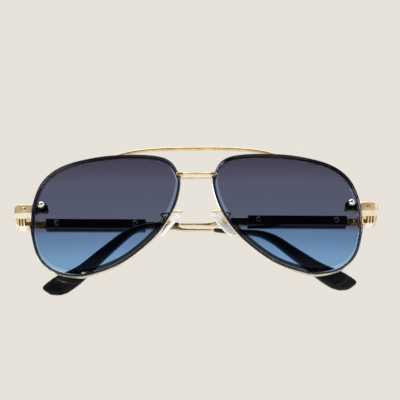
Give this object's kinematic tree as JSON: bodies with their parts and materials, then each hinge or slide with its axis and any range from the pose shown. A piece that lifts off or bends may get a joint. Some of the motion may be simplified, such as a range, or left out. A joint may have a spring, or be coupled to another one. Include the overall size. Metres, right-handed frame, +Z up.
{
  "type": "folded aviator sunglasses",
  "caption": "Aviator sunglasses with large bevelled teardrop lenses screwed in front of thin gold rims, a brow bar, rocking nose pads and folding temples with black scales.",
  "frame": {"origin": "bottom centre of the bounding box, with the sunglasses folded and standing upright on the end of the left temple", "axes": "+X to the wearer's left, +Y from the front towards the wearer, +Z up"},
  "size_m": [0.1504, 0.0224, 0.0628],
  "materials": {
    "gold": "polished gold-coloured metal plating",
    "steel": "polished steel",
    "black": "polished black acetate",
    "lens": "grey-blue tinted glass with a ground bevel",
    "silicone": "clear silicone"
  },
  "bodies": {
    "front": {"bridge_front_bar": "gold", "bridge_rear_bar": "gold", "brow_bar": "gold", "end_piece_left": "gold", "end_piece_right": "gold", "end_piece_stud_left": "gold", "end_piece_stud_right": "gold", "hinge_front_leaf_left": "gold", "hinge_front_leaf_right": "gold", "hinge_screw_left": "steel", "hinge_screw_right": "steel", "lens_claw_left": "gold", "lens_claw_right": "gold", "lens_left": "lens", "lens_nut_left": "gold", "lens_nut_right": "gold", "lens_right": "lens", "lens_screw_left": "steel", "lens_screw_right": "steel", "lens_spacer_left": "black", "lens_spacer_right": "black", "nose_pad_arm_left": "gold", "nose_pad_arm_right": "gold", "nose_pad_box_left": "gold", "nose_pad_box_right": "gold", "nose_pad_screw_left": "steel", "nose_pad_screw_right": "steel", "rim_left": "gold", "rim_right": "gold"},
    "temple_left": {"hinge_rear_leaf_left": "gold", "temple_core_left": "gold", "temple_inner_plate_left": "black", "temple_outer_plate_left": "black", "temple_rivet_front_left": "steel", "temple_rivet_rear_left": "steel", "temple_tip_left": "black"},
    "temple_right": {"hinge_rear_leaf_right": "gold", "temple_core_right": "gold", "temple_inner_plate_right": "black", "temple_outer_plate_right": "black", "temple_rivet_front_right": "steel", "temple_rivet_rear_right": "steel", "temple_tip_right": "black"},
    "nose_pad_left": {"nose_pad_left": "silicone", "nose_pad_stem_left": "gold"},
    "nose_pad_right": {"nose_pad_right": "silicone", "nose_pad_stem_right": "gold"}
  },
  "joints": [
    {"name": "temple_left_fold", "type": "hinge", "parent": "front", "child": "temple_left", "pos_m": [0.069, 0.00625, 0.0332], "axis": [0, 0, -1], "range_deg": [0, 95]},
    {"name": "temple_right_fold", "type": "hinge", "parent": "front", "child": "temple_right", "pos_m": [-0.069, 0.00625, 0.0332], "axis": [0, 0, 1], "range_deg": [0, 91]},
    {"name": "nose_pad_left_rock", "type": "hinge", "parent": "front", "child": "nose_pad_left", "pos_m": [0.01218, -0.00386, 0.03099], "axis": [0.5693, 0.6691, 0.4777], "range_deg": [-5, 5]},
    {"name": "nose_pad_right_rock", "type": "hinge", "parent": "front", "child": "nose_pad_right", "pos_m": [-0.01269, -0.00278, 0.03142], "axis": [-0.2111, 0.9613, 0.1772], "range_deg": [-5, 5]}
  ]
}
